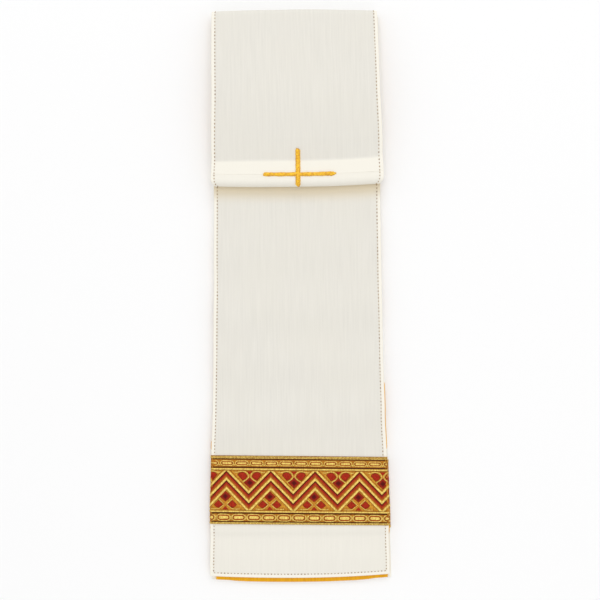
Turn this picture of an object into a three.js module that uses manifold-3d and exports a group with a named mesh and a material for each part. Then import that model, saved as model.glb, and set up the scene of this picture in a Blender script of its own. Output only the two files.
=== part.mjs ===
// Maniple: a lined band of cloth about one metre long, laid flat on a table as it is stored.
// The band is folded in half, lining to lining, and its middle is then turned down over the front half,
// so that the arm loop with its seam and embroidered cross lies on top.
// Millimetres. +X runs across the band, +Y towards the top fold, +Z up from the table.

import * as THREE from 'three';
import Module from 'manifold-3d';
import { mergeVertices } from 'three/addons/utils/BufferGeometryUtils.js';

const wasm = await Module();
wasm.setup();

// ---------------------------------------------------------------- driving dimensions

const CLOTH = 1.2;            // face cloth with its interlining
const LINING = 0.8;           // satin lining
const GAP = 0.3;              // between two pieces that touch
const FOLDED_LENGTH = 378.2;  // from the top fold to the back hem
const HEM_STEP = 3.4;         // the back hem shows this far below the front one

// The arm loop seen from the side. The flap stands a little off the ply below it and sinks to a crease.
// From there the front band rises over the centre seam, whose pressed-open allowances stiffen it, to the loop's
// lower edge, a full round that rests on the front leaf. The side edges draw in by the pinch there.
const FLAP_HIGH = { y: 126, z: 16, round: 150 };
const FLAP_SINKS = { y: 103, z: 12.9, round: 45 };
const CREASE = { y: 90, z: 10.6, round: 2.2 };
const BAND = { slope: THREE.MathUtils.degToRad(12), creaseToSeam: 10.6, seamToBend: 3.4, bendRound: 2.5 };
const LOOP_EDGE = { y: 71.8, top: 13.6, round: 4.1, pinch: 2.4, pinchReach: 3.4 };

const LINING_INSET = 2.4;     // from the side edges of the face cloth
const LINING_HEM_INSET = 0.4;

const GALLOON = { width: 45, thickness: 0.8, aboveHem: 35.6, tuck: 2, cord: 0.35 };
const RAMP = { clear: 0.6, length: 4.4 };        // the leaves step over the back galloon

// The two hidden plies of the front panel are one solid between these places, but apart at its edges.
const HIDDEN_PLIES = { from: 84, to: 183, slit: 4 };

// The cut of each half of the band: its width at a distance from the centre seam.
const CUT = [
  { fromSeam: 0, width: 112.6 },
  { fromSeam: 14, width: 111.9 },
  { fromSeam: 60, width: 109.4 },
  { fromSeam: 120, width: 108.4 },
  { fromSeam: 240, width: 109.9 },
  { fromSeam: 300, width: 110.7 },
  { fromSeam: 345, width: 111.9 },
  { fromSeam: 385, width: 113.5 },
  { fromSeam: 415, width: 115.8 },
  { fromSeam: 455, width: 117.6 },
  { fromSeam: 505, width: 118.9 },
];

// How far each half lies to the right of the middle, as it was folded by hand.
const FRONT_SHIFT = [
  { fromSeam: 0, shift: 0.3 },
  { fromSeam: 120, shift: 0 },
  { fromSeam: 505, shift: 0.4 },
];
const BACK_SHIFT = [
  { fromSeam: 0, shift: 0.3 },
  { fromSeam: 118, shift: -1 },
  { fromSeam: 505, shift: 1.8 },
];

// Crosswise lines bow a little: how far their ends, at the half width, lie above their middle.
const BOW_HALF_WIDTH = 56;
const BOW = [
  { y: -190, left: 1.4, right: 2.1 },
  { y: -150, left: 0, right: 0 },
  { y: 30, left: 0, right: 0 },
  { y: 70, left: 0.8, right: 2.1 },
  { y: 80, left: 0.3, right: 1.9 },
  { y: 90, left: -0.5, right: 2.3 },
  { y: 130, left: -0.2, right: 0.6 },
  { y: 190, left: -1.2, right: -1.2 },
];

// Soft crosswise waves in the front leaf: y of the crest in the middle, slant, height and half width.
const WAVES_FADE = { from: 39, to: 65 };         // they fade out towards the loop
const WAVES = [
  { crest: 30, slant: 0.01, height: 0.5, spread: 15 },
  { crest: -9, slant: 0.06, height: 1.0, spread: 15 },
  { crest: -44, slant: 0, height: 0.8, spread: 14 },
  { crest: -80, slant: 0.11, height: 0.9, spread: 13 },
  { crest: -172, slant: -0.03, height: 0.5, spread: 9 },
];

// The embroidered cross on the loop: its arms, measured from the middle of the band and along its face.
const CROSS = { width: 3.1, height: 0.9, x: 0.8, above: 6.5, below: 20, left: 23, right: 25.2 };
const CROSS_SHOULDER = 0.45;  // height of its arms at their sides and ends, as a share of the height
const CROSS_TIP = 0.5;        // width of their ends, as a share of the width

const IVORY = new THREE.MeshStandardMaterial({ color: 0xf1ede0, roughness: 0.85, metalness: 0 });
const GOLD_LINING = new THREE.MeshStandardMaterial({ color: 0xe9a92a, roughness: 0.45, metalness: 0 });
const GALLOON_GOLD = new THREE.MeshStandardMaterial({ color: 0xc99a3a, roughness: 0.4, metalness: 0.4 });
const THREAD_GOLD = new THREE.MeshStandardMaterial({ color: 0xeab52a, roughness: 0.4, metalness: 0.2 });

// ---------------------------------------------------------------- worked out from them

const TOP = FOLDED_LENGTH / 2;
const BACK_HEM = -TOP;
const FRONT_HEM = BACK_HEM + HEM_STEP;
const HALF_STACK = CLOTH + GAP + LINING;         // one half of the band, to the top of its lining
const FRONT_FACE = 2 * HALF_STACK + GAP;         // height of the front leaf's face
const FOLD_ROUND = FRONT_FACE + GAP / 2;         // the top fold is a half circle round the stack's middle
const FOLD_MIDDLE = TOP - FOLD_ROUND;
const LIFT = GALLOON.thickness + GAP;            // the leaves rise this much over the back galloon

// A point on the front band's face, so far from the crease.
function alongBand(distance) {
  return { y: CREASE.y - distance * Math.cos(BAND.slope), z: CREASE.z + distance * Math.sin(BAND.slope) };
}

// Smooth reading of a short table.
function read(table, key, value, at) {
  const last = table.length - 1;
  if (at <= table[0][key]) return table[0][value];
  if (at >= table[last][key]) return table[last][value];
  const i = table.findIndex((row) => row[key] > at) - 1;
  const part = (at - table[i][key]) / (table[i + 1][key] - table[i][key]);
  return THREE.MathUtils.lerp(table[i][value], table[i + 1][value], part * part * (3 - 2 * part));
}

// ---------------------------------------------------------------- lines seen from the side

// Points of a line with rounded corners, or of a layer that lies `left` of it. Each corner has its place,
// the number of steps in the straight run before it, and its rounding with the number of steps in the arc.
// Every layer of one line has the same number of points.
function layerLine(corners, left) {
  const headings = corners.slice(1).map((c, i) => Math.atan2(c.z - corners[i].z, c.y - corners[i].y));
  const points = [];
  corners.forEach((corner, i) => {
    const before = headings[Math.max(i - 1, 0)];
    const after = headings[Math.min(i, headings.length - 1)];
    const turn = Math.atan2(Math.sin(after - before), Math.cos(after - before));
    const middle = before + turn / 2;
    const reach = left / Math.cos(turn / 2);
    const tip = new THREE.Vector2(corner.y - reach * Math.sin(middle), corner.z + reach * Math.cos(middle));
    const round = corner.arc ? Math.max(corner.round - left * Math.sign(turn), 0.1) : 0;
    const trim = round * Math.tan(Math.abs(turn) / 2);
    const start = new THREE.Vector2(tip.x - trim * Math.cos(before), tip.y - trim * Math.sin(before));
    addRun(points, start, corner.run ?? 1);
    for (let k = 1; k <= (corner.arc ?? 0); k++) {
      const turned = (turn * k) / corner.arc;
      const chord = 2 * round * Math.abs(Math.sin(turned / 2));
      const heading = before + turned / 2;
      const step = new THREE.Vector2(Math.cos(heading), Math.sin(heading)).multiplyScalar(chord);
      points.push(start.clone().add(step));
    }
  });
  return points;
}

// Adds a straight run in equal steps. With no steps, the run has no length and adds nothing.
function addRun(points, end, steps) {
  const start = points.at(-1);
  if (!start) {
    points.push(end);
    return;
  }
  for (let k = 1; k <= steps; k++) points.push(start.clone().lerp(end, k / steps));
}

// Corners of a leaf between its hem and the top fold, with a point at each step over the back galloon.
function leafCorners(hem, z) {
  const low = BACK_HEM + GALLOON.aboveHem;
  const high = low + GALLOON.width;
  return [
    { y: hem, z },
    { y: low - RAMP.clear - RAMP.length, z, run: 3 },
    { y: low - RAMP.clear - RAMP.length / 2, z },
    { y: low - RAMP.clear, z },
    { y: high + RAMP.clear, z, run: 5 },
    { y: high + RAMP.clear + RAMP.length / 2, z },
    { y: high + RAMP.clear + RAMP.length, z },
    { y: CREASE.y, z, run: 20 },
  ];
}

// The back half's face: back leaf, top fold, flap, crease, front band up to the seam.
function backHalfCorners(hem) {
  return [
    ...leafCorners(hem, 0),
    { y: TOP, z: 0, round: FOLD_ROUND, arc: 4, run: 6 },
    { y: TOP, z: 2 * FOLD_ROUND, round: FOLD_ROUND, arc: 4, run: 0 },
    { ...FLAP_HIGH, arc: 4, run: 4 },
    { ...FLAP_SINKS, arc: 3, run: 2 },
    { ...CREASE, arc: 4, run: 1 },
    { ...alongBand(BAND.creaseToSeam - GAP / 2), run: 2 },
  ];
}

// The band bends just below the seam, and its face turns back at the loop's lower edge.
function bandBend() {
  return { ...alongBand(BAND.creaseToSeam + BAND.seamToBend), round: BAND.bendRound, arc: 3 };
}

function loopEdgeCorners() {
  const { y, top, round } = LOOP_EDGE;
  return { lower: { y, z: FRONT_FACE + GAP, round, arc: 7 }, upper: { y, z: top, round, arc: 7 } };
}

// The front half's face: front leaf, inner fold, lower ply, loop edge, front band up to the seam.
function frontHalfCorners(hem) {
  const foldEnd = FOLD_MIDDLE + GAP / 2;
  return [
    ...leafCorners(hem, FRONT_FACE),
    { y: foldEnd, z: FRONT_FACE, round: GAP / 2, arc: 2, run: 6 },
    { y: foldEnd, z: FRONT_FACE + GAP, round: GAP / 2, arc: 2, run: 0 },
    { ...loopEdgeCorners().lower, run: 9 },
    { ...loopEdgeCorners().upper, run: 1 },
    { ...bandBend(), run: 1 },
    { ...alongBand(BAND.creaseToSeam + GAP / 2), run: 2 },
  ];
}

// ---------------------------------------------------------------- where points lie once the band is laid out

// How far the leaves are raised where they step over the back galloon.
function lift(y) {
  const low = BACK_HEM + GALLOON.aboveHem - RAMP.clear;
  const high = low + GALLOON.width + 2 * RAMP.clear;
  const outside = Math.max(low - y, y - high, 0);
  return LIFT * (1 - THREE.MathUtils.smoothstep(outside, 0, RAMP.length));
}

function bow(x, y) {
  return read(BOW, 'y', x < 0 ? 'left' : 'right', y) * (x / BOW_HALF_WIDTH) ** 2;
}

// How far the side edges draw in where the band bends round the loop's lower edge.
function pinch(place) {
  const { y, pinch: depth, pinchReach } = LOOP_EDGE;
  const past = THREE.MathUtils.clamp((y + pinchReach - place.x) / pinchReach, 0, 1);
  return place.y > FRONT_FACE ? depth * (1 - Math.sqrt(1 - past * past)) : 0;
}

// Height of the soft waves in the front leaf, none where the loop lies on it.
function wave(x, y) {
  const free = 1 - THREE.MathUtils.smoothstep(y, WAVES_FADE.from, WAVES_FADE.to);
  const heights = WAVES.map((w) => w.height * Math.exp(-(((y - w.crest - w.slant * x) / w.spread) ** 2)));
  return free * heights.reduce((sum, height) => sum + height, 0);
}

// Distances along a line from its last point, which is the centre seam.
function distancesFromSeam(line) {
  const distances = new Array(line.length).fill(0);
  for (let i = line.length - 2; i >= 0; i--) {
    distances[i] = distances[i + 1] + line[i].distanceTo(line[i + 1]);
  }
  return distances;
}

// ---------------------------------------------------------------- solids

// A closed wall between two sheets of points with the same rows and columns.
function wallBetween(near, far) {
  const rows = near.length;
  const columns = near[0].length;
  const position = [...near, ...far].flat().flatMap((p) => [p.x, p.y, p.z]);
  const index = [];
  const at = (i, j, isFar) => (isFar ? rows * columns : 0) + i * columns + j;
  const quad = (a, b, c, d) => index.push(a, b, c, a, c, d);
  for (let i = 0; i + 1 < rows; i++) {
    for (let j = 0; j + 1 < columns; j++) {
      quad(at(i, j), at(i, j + 1), at(i + 1, j + 1), at(i + 1, j));
      quad(at(i, j, true), at(i + 1, j, true), at(i + 1, j + 1, true), at(i, j + 1, true));
    }
    quad(at(i, 0), at(i + 1, 0), at(i + 1, 0, true), at(i, 0, true));
    quad(at(i, columns - 1), at(i, columns - 1, true), at(i + 1, columns - 1, true), at(i + 1, columns - 1));
  }
  for (let j = 0; j + 1 < columns; j++) {
    quad(at(0, j), at(0, j, true), at(0, j + 1, true), at(0, j + 1));
    quad(at(rows - 1, j), at(rows - 1, j + 1), at(rows - 1, j + 1, true), at(rows - 1, j, true));
  }
  return facingOut(position, index);
}

// A geometry of the given triangles, turned over if they face inwards.
function facingOut(position, index) {
  const corner = (i) => new THREE.Vector3().fromArray(position, 3 * i);
  let volume = 0;
  for (let i = 0; i < index.length; i += 3) {
    const [a, b, c] = [corner(index[i]), corner(index[i + 1]), corner(index[i + 2])];
    volume += a.dot(b.cross(c));
  }
  if (volume < 0) {
    for (let i = 0; i < index.length; i += 3) [index[i], index[i + 1]] = [index[i + 1], index[i]];
  }
  const geometry = new THREE.BufferGeometry();
  geometry.setAttribute('position', new THREE.Float32BufferAttribute(position, 3));
  geometry.setIndex(index);
  return geometry;
}

// The wall of one layer of a half: between two distances left of its face, `inset` in from the side edges.
function bandWall({ corners, shifts, from, to, inset = 0, columns, waves = false }) {
  const fromSeam = distancesFromSeam(layerLine(corners, 0));
  const sheet = (left) =>
    layerLine(corners, left).map((p, i) => {
      const halfWidth = read(CUT, 'fromSeam', 'width', fromSeam[i]) / 2 - inset - pinch(p);
      const middle = read(shifts, 'fromSeam', 'shift', fromSeam[i]);
      return Array.from({ length: columns + 1 }, (_, j) => {
        const x = middle + halfWidth * ((2 * j) / columns - 1);
        const onLeaf = waves && p.x < LOOP_EDGE.y;
        const raised = p.y < FRONT_FACE + GAP ? lift(p.x) : 0;
        return new THREE.Vector3(x, p.x + bow(x, p.x), p.y + raised + (onLeaf ? wave(x, p.x) : 0));
      });
    });
  return wallBetween(sheet(from), sheet(to));
}

function toManifold(geometry) {
  const merged = mergeVertices(geometry, 1e-4);
  return new wasm.Manifold(
    new wasm.Mesh({
      numProp: 3,
      vertProperties: merged.attributes.position.array,
      triVerts: new Uint32Array(merged.index.array),
    }),
  );
}

function joined(first, second) {
  const mesh = toManifold(first).add(toManifold(second)).getMesh();
  const geometry = new THREE.BufferGeometry();
  geometry.setAttribute('position', new THREE.Float32BufferAttribute(mesh.vertProperties, 3));
  geometry.setIndex([...mesh.triVerts]);
  return geometry;
}

// Fills the slit between the two hidden plies of the front panel, but not at their edges.
function hiddenPlies() {
  const { from, to, slit } = HIDDEN_PLIES;
  const halfWidth = Math.min(...CUT.map((row) => row.width)) / 2 - slit;
  const ys = [from, (from + to) / 2, to];
  const xs = [-halfWidth, 0, halfWidth];
  const sheet = (z) => ys.map((y) => xs.map((x) => new THREE.Vector3(x, y + bow(x, y), z)));
  return wallBetween(sheet(FRONT_FACE - GAP), sheet(FRONT_FACE + 2 * GAP));
}

function frontPanel() {
  const corners = frontHalfCorners(FRONT_HEM);
  const wall = bandWall({ corners, shifts: FRONT_SHIFT, from: 0, to: -CLOTH, columns: 8, waves: true });
  return joined(wall, hiddenPlies());
}

function backPanel() {
  return bandWall({ corners: backHalfCorners(BACK_HEM), shifts: BACK_SHIFT, from: 0, to: CLOTH, columns: 8 });
}

function frontLining() {
  const corners = frontHalfCorners(FRONT_HEM + LINING_HEM_INSET);
  const [from, to] = [-CLOTH - GAP, -HALF_STACK];
  return bandWall({ corners, shifts: FRONT_SHIFT, from, to, inset: LINING_INSET, columns: 6 });
}

function backLining() {
  const corners = backHalfCorners(BACK_HEM + LINING_HEM_INSET);
  const [from, to] = [CLOTH + GAP, HALF_STACK];
  return bandWall({ corners, shifts: BACK_SHIFT, from, to, inset: LINING_INSET, columns: 6 });
}

// ---------------------------------------------------------------- galloon

// Three zigzag cords run along the tape between straight ones, with places above the tape's lower edge.
const ZIGZAG = { pitch: 29.2, swing: 7, middle: 22.6, lineStep: 5.2, lineWidth: 2.4, firstPeak: -47.9 };
const EDGE_CORDS = [
  { from: 0, to: 1.6 },
  { from: 7.6, to: 9.1 },
  { from: 36.2, to: 37.4 },
  { from: 43.4, to: 45 },
];

// Rows across the tape: y above its lower edge, whether the row swings with the zigzag, and its relief.
function galloonRows() {
  const cord = ({ from, to }, swings) => [
    { y: from, swings, relief: 0 },
    { y: (from + to) / 2, swings, relief: GALLOON.cord },
    { y: to, swings, relief: 0 },
  ];
  const zigzagCord = (k) => {
    const middle = ZIGZAG.middle + k * ZIGZAG.lineStep;
    return cord({ from: middle - ZIGZAG.lineWidth / 2, to: middle + ZIGZAG.lineWidth / 2 }, true);
  };
  return [
    ...EDGE_CORDS.slice(0, 2).flatMap((c) => cord(c, false)),
    ...[-1, 0, 1].flatMap(zigzagCord),
    ...EDGE_CORDS.slice(2).flatMap((c) => cord(c, false)),
  ];
}

// Height of the zigzag at a place across the tape: highest at each peak, lowest half a pitch from it.
function zigzag(x) {
  const pitches = Math.abs(x - ZIGZAG.firstPeak) / ZIGZAG.pitch;
  const fromPeak = Math.abs(pitches - Math.round(pitches));
  return ZIGZAG.swing * (1 - 4 * fromPeak);
}

// Places across the tape where the zigzag has a peak or a valley, clear of the leaf's side edges.
function zigzagTurns() {
  const furthest = CUT.at(-1).width / 2 - GALLOON.tuck;
  const count = Math.floor((furthest - ZIGZAG.firstPeak) / (ZIGZAG.pitch / 2)) + 1;
  return Array.from({ length: count }, (_, k) => ZIGZAG.firstPeak + (k * ZIGZAG.pitch) / 2);
}

// The tape is laid on a leaf, wraps round its side edges and is tucked under them.
// `side` is 1 on the front leaf and -1 on the back leaf, whose face is its underside.
function galloon({ hem, face, shifts, side, relief }) {
  const lower = hem + GALLOON.aboveHem;
  const leafEnd = distancesFromSeam(layerLine(side > 0 ? frontHalfCorners(hem) : backHalfCorners(hem), 0))[0];
  const sheet = (out) =>
    galloonRows().map((row) => {
      const fromSeam = leafEnd - GALLOON.aboveHem - row.y;
      const halfWidth = read(CUT, 'fromSeam', 'width', fromSeam) / 2;
      const middle = read(shifts, 'fromSeam', 'shift', fromSeam);
      const point = (x, height) => {
        const y = lower + row.y + (row.swings ? zigzag(x) : 0);
        const ground = lift(y) + (side > 0 ? wave(middle + x, y) : 0);
        return new THREE.Vector3(middle + x, y + bow(middle + x, y), face + ground + side * height);
      };
      const edge = halfWidth + out;
      const under = -CLOTH - out;
      const tuckEnd = halfWidth - GALLOON.tuck;
      return [
        point(-tuckEnd, under),
        point(-edge, under),
        point(-edge, out),
        ...zigzagTurns().map((x) => point(x, out + (out > GAP && relief ? row.relief : 0))),
        point(edge, out),
        point(edge, under),
        point(tuckEnd, under),
      ];
    });
  return wallBetween(sheet(GAP), sheet(GAP + GALLOON.thickness));
}

function frontGalloon() {
  return galloon({ hem: FRONT_HEM, face: FRONT_FACE, shifts: FRONT_SHIFT, side: 1, relief: true });
}

// The back galloon lies under the back leaf. Its outer side rests on the table, so it is plain.
function backGalloon() {
  return galloon({ hem: BACK_HEM, face: 0, shifts: BACK_SHIFT, side: -1, relief: false });
}

// ---------------------------------------------------------------- cross

// One arm, as a padded bar of stitches: `along` gives a place and an outward direction for each step along it
// and each side step across it.
function crossArm(steps, along) {
  const across = [-1, -0.6, 0, 0.6, 1];
  const sheet = (isTop) =>
    steps.map((step, i) => {
      const isEnd = i === 0 || i === steps.length - 1;
      return across.map((u) => {
        const roundness = Math.sqrt(1 - (1 - CROSS_SHOULDER ** 2) * u * u);
        const height = CROSS.height * (isEnd ? CROSS_SHOULDER : roundness);
        const taper = isEnd ? CROSS_TIP : 1;
        return along(step, (u * taper * CROSS.width) / 2, GAP + (isTop ? height : 0));
      });
    });
  return wallBetween(sheet(false), sheet(true));
}

function cross() {
  const flapHeading = Math.atan2(FLAP_SINKS.z - CREASE.z, FLAP_SINKS.y - CREASE.y);
  const onFlap = {
    y: CREASE.y + CROSS.above * Math.cos(flapHeading),
    z: CREASE.z + CROSS.above * Math.sin(flapHeading),
  };
  const loopLine = [
    onFlap,
    { ...CREASE, arc: 4, run: 3 },
    { ...bandBend(), run: 5 },
    { ...loopEdgeCorners().upper, run: 2 },
    loopEdgeCorners().lower,
  ];
  const face = layerLine(loopLine, 0);
  const reach = distancesFromSeam(face)[0] - CROSS.above - CROSS.below;
  const upright = face.map((_, i) => i).filter((i) => distancesFromSeam(face)[i] >= reach);
  const uprightArm = crossArm(upright, (i, across, out) => {
    const place = layerLine(loopLine, -out)[i];
    const x = CROSS.x + across;
    return new THREE.Vector3(x, place.x + bow(x, place.x), place.y);
  });
  const lengthSteps = 12;
  const level = Array.from({ length: lengthSteps + 1 }, (_, k) => k / lengthSteps);
  const levelArm = crossArm(level, (part, across, out) => {
    const x = CROSS.x + THREE.MathUtils.lerp(-CROSS.left, CROSS.right, part);
    const place = alongBand(BAND.creaseToSeam + across);
    const y = place.y + out * Math.sin(BAND.slope);
    return new THREE.Vector3(x, y + bow(x, y), place.z + out * Math.cos(BAND.slope));
  });
  return joined(uprightArm, levelArm);
}

// ---------------------------------------------------------------- the maniple

const maniple = new THREE.Group();
maniple.name = 'maniple';

function addPiece(name, geometry, material) {
  const mesh = new THREE.Mesh(geometry, material);
  mesh.name = name;
  maniple.add(mesh);
}

addPiece('front_panel', frontPanel(), IVORY);
addPiece('back_panel', backPanel(), IVORY);
addPiece('front_lining', frontLining(), GOLD_LINING);
addPiece('back_lining', backLining(), GOLD_LINING);
addPiece('front_galloon', frontGalloon(), GALLOON_GOLD);
addPiece('back_galloon', backGalloon(), GALLOON_GOLD);
addPiece('cross', cross(), THREAD_GOLD);

export default maniple;
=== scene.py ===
# A maniple, folded in half with its arm loop turned down over the front: ivory cloth lined with gold satin,
# woven gold trim near each hem, and a cross embroidered over the seam of the loop. It lies on a pale table.
# Lights and camera are in metres. All else is in millimetres, which become metres where a mesh is made.

import math

import bmesh
import bpy
import numpy as np
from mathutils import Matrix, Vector, noise


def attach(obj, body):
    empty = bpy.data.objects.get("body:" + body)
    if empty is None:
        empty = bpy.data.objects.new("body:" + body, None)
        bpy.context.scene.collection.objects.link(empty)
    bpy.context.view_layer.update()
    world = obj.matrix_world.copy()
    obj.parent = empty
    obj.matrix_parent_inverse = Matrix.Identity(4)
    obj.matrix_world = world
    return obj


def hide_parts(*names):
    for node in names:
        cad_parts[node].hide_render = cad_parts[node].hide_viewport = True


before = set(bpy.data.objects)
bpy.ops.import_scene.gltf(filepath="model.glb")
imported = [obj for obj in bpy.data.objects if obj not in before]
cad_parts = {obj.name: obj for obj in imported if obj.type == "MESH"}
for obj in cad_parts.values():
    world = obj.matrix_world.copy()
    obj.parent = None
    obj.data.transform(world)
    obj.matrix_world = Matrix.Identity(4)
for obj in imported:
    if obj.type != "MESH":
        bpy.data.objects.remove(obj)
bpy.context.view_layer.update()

# ---------------------------------------------------------------- table, light and camera
# A matt white table top in a bright room, with soft boxes overhead, beyond the top fold and beyond the hem.
# The camera hangs straight above, with a normal lens.

MM = 0.001
CAMERA_HEIGHT = 0.56
VIEW_WIDTH = 0.396            # width of the table that the camera sees at the height of the cloth
CLOTH_HEIGHT = 0.005
CAMERA_OVER = (0.0016, -0.0022)
CAMERA_ROLL = math.radians(-0.35)
SENSOR = 36
ROOM_LIGHT = 0.73
TABLE_HALF = 3000
TABLE_WHITE = (0.93, 0.93, 0.93, 1)


def new_object(name, data):
    thing = bpy.data.objects.new(name, data)
    bpy.context.scene.collection.objects.link(thing)
    return thing


def new_mesh(name, points, faces, edges=()):
    """A mesh from points in millimetres."""
    mesh = bpy.data.meshes.new(name)
    mesh.from_pydata((np.array(points, float) * MM).tolist(), list(edges), faces)
    return mesh


def new_material(name, roughness, **constants):
    """A material, its nodes and its shader, which holds the numbers that are the same all over it."""
    material = bpy.data.materials.new(name)
    material.use_nodes = True
    shader = material.node_tree.nodes["Principled BSDF"]
    shader.inputs["Roughness"].default_value = roughness
    for socket, value in constants.items():
        shader.inputs[socket.replace("_", " ")].default_value = value
    return material, material.node_tree, shader


def soft_box(name, place, size, power):
    """A rectangular light that faces the middle of the table."""
    light = bpy.data.lights.new(name, "AREA")
    light.shape = "RECTANGLE"
    light.size, light.size_y = size
    light.energy = power
    lamp = new_object(name, light)
    lamp.location = place
    lamp.rotation_euler = (-Vector(place)).to_track_quat("-Z", "Y").to_euler()


camera_data = bpy.data.cameras.new("camera")
camera_data.sensor_width = SENSOR
camera_data.lens = SENSOR * (CAMERA_HEIGHT - CLOTH_HEIGHT) / VIEW_WIDTH
camera = new_object("camera", camera_data)
camera.location = (*CAMERA_OVER, CAMERA_HEIGHT)
camera.rotation_euler = (0, 0, CAMERA_ROLL)
bpy.context.scene.camera = camera

soft_box("window_light", (0.1, 1.6, 1.5), (1.4, 0.9), 10.0)
soft_box("ceiling_light", (0.0, 0.3, 2.4), (1.6, 1.6), 9.9)
soft_box("hem_light", (0.1, -0.8, 0.8), (0.9, 0.5), 1.15)

world = bpy.data.worlds.new("studio")
world.use_nodes = True
world.node_tree.nodes["Background"].inputs["Color"].default_value = (1, 1, 1, 1)
world.node_tree.nodes["Background"].inputs["Strength"].default_value = ROOM_LIGHT
bpy.context.scene.world = world
bpy.context.scene.view_settings.view_transform = "Standard"

table_corners = [(x * TABLE_HALF, y * TABLE_HALF, 0) for x, y in ((-1, -1), (1, -1), (1, 1), (-1, 1))]
table_top = new_object("table_top", new_mesh("table_top", table_corners, [(0, 1, 2, 3)]))
table_top.data.materials.append(new_material("table_paint", 0.9, Base_Color=TABLE_WHITE)[0])

# ---------------------------------------------------------------- face panels
# The two halves of the band, cut from ivory cloth with a fine lengthwise slub and pressed over an interlining.
# Their edges are turned in, and they are joined by a seam across the front of the arm loop.

CLOTH = 1.2
LINING = 0.8
GAP = 0.3
FOLDED_LENGTH = 378.2
HEM_STEP = 3.4
FLAP_HIGH = dict(y=126, z=16, round=150)
FLAP_SINKS = dict(y=103, z=12.9, round=45)
CREASE = dict(y=90, z=10.6, round=2.2)
BAND = dict(slope=math.radians(12), crease_to_seam=10.6, seam_to_bend=3.4, bend_round=2.5)
LOOP_EDGE = dict(y=71.8, top=13.6, round=4.1, pinch=2.4, pinch_reach=3.4)
SEAM_GAP = 0.05               # the two halves meet at the seam
GALLOON_WIDTH = 45
GALLOON_THICK = 0.8
GALLOON_ABOVE_HEM = 35.6
RAMP_CLEAR = 0.6
RAMP_LENGTH = 4.4
LIFT = GALLOON_THICK + GAP

TOP = FOLDED_LENGTH / 2
BACK_HEM = -TOP
FRONT_HEM = BACK_HEM + HEM_STEP
HALF_STACK = CLOTH + GAP + LINING
FRONT_FACE = 2 * HALF_STACK + GAP
FOLD_ROUND = FRONT_FACE + GAP / 2
FOLD_MIDDLE = TOP - FOLD_ROUND

# width of the cut at a distance from the centre seam
CUT = dict(
    from_seam=(0, 14, 60, 120, 240, 300, 345, 385, 415, 455, 505),
    width=(112.6, 111.9, 109.4, 108.4, 109.9, 110.7, 111.9, 113.5, 115.8, 117.6, 118.9),
)
# how far each half lies to the right of the middle
FRONT_SHIFT = dict(from_seam=(0, 120, 505), shift=(0.3, 0, 0.4))
BACK_SHIFT = dict(from_seam=(0, 118, 505), shift=(0.3, -1, 1.8))
# crosswise lines bow a little: how far their ends lie above their middle
BOW_HALF_WIDTH = 56
BOW = dict(
    y=(-190, -150, 30, 70, 80, 90, 130, 190),
    left=(1.4, 0, 0, 0.8, 0.3, -0.5, -0.2, -1.2),
    right=(2.1, 0, 0, 2.1, 1.9, 2.3, 0.6, -1.2),
)
# soft crosswise waves in the front leaf
WAVES = dict(
    crest=(30, -9, -44, -80, -172),
    slant=(0.01, 0.06, 0, 0.11, -0.03),
    height=(0.8, 1.7, 1.4, 1.6, 0.8),
    spread=(15, 15, 14, 13, 9),
)
WAVES_FADE = (39, 65)

STITCH_INSET = 2.35           # the topstitching runs this far in from the edges
STITCH_WANDER = 0.22          # and strays this much, as it was guided by hand
EDGE_COLUMNS = (0, 0.07, 0.22, 0.45, 0.8, 1.2, 1.6, 1.9, 2.15, 2.4, 2.65, 2.9, 3.3, 4.2, 6.0)
SEAM_STEPS = (0.07, 0.22, 0.45, 0.8, 1.3)
CLOTH_STEP = 1.5              # size of the mesh's faces along the band and across it, away from the edges
COLUMN_STEP = 2.4
LEAST_ARC_STEPS = 6
MAP_UNIT = 100                # millimetres of cloth in one unit of a map

# relief of the face: broad unevenness, and the groove, puff and puckers that the topstitching makes
UNEVEN = dict(height=0.26, broad=34, fine=13, fine_share=0.4, fades=9)
GROOVE = dict(depth=0.12, width=0.5)
PUFF = dict(height=0.08, inset=1.2, width=0.8)
PUCKER = dict(height=0.26, size=5.5, squeeze=3, fades=3)

TURNED_EDGE = 0.62            # roundness of an edge turned over its interlining
TURNED_EDGE_FADE = 0.8
EDGE_LEFT = 0.25              # share of the thickness that is left at the very edge
SEAM_FULLNESS = 0.26          # the seam is pressed nearly flat, and grows thicker away from it
SEAM_GROWTH = 1.4
SEAM_FADE = 1.2
HEM_TURNED_UP = dict(height=52, share=0.4, fade=20)       # the hem's allowance, behind the galloon
LOOP_SHADE_SPREAD = dict(reach=13, fade=12, power=1.5)            # painted shade: a warm darkening of the leaf near the loop and under it


def smooth(t):
    t = np.clip(t, 0, 1)
    return t * t * (3 - 2 * t)


def read_table(keys, values, at):
    """Smooth reading of a short table."""
    keys, values, at = np.array(keys, float), np.array(values, float), np.asarray(at, float)
    row = np.clip(np.searchsorted(keys, at, side="right") - 1, 0, len(keys) - 2)
    part = smooth((at - keys[row]) / (keys[row + 1] - keys[row]))
    return values[row] + (values[row + 1] - values[row]) * part


def along_band(distance):
    """Place on the front band's face, so far from the crease."""
    slope = BAND["slope"]
    return dict(y=CREASE["y"] - distance * math.cos(slope), z=CREASE["z"] + distance * math.sin(slope))


def back_half_corners():
    """The back half's face from the side: back leaf, top fold, flap, crease, front band up to the seam."""
    return [
        dict(y=BACK_HEM, z=0),
        dict(y=TOP, z=0, round=FOLD_ROUND, start=EDGE_COLUMNS[1:]),
        dict(y=TOP, z=2 * FOLD_ROUND, round=FOLD_ROUND, touching=True),
        FLAP_HIGH,
        FLAP_SINKS,
        CREASE,
        dict(**along_band(BAND["crease_to_seam"] - SEAM_GAP / 2), end=SEAM_STEPS),
    ]


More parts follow.
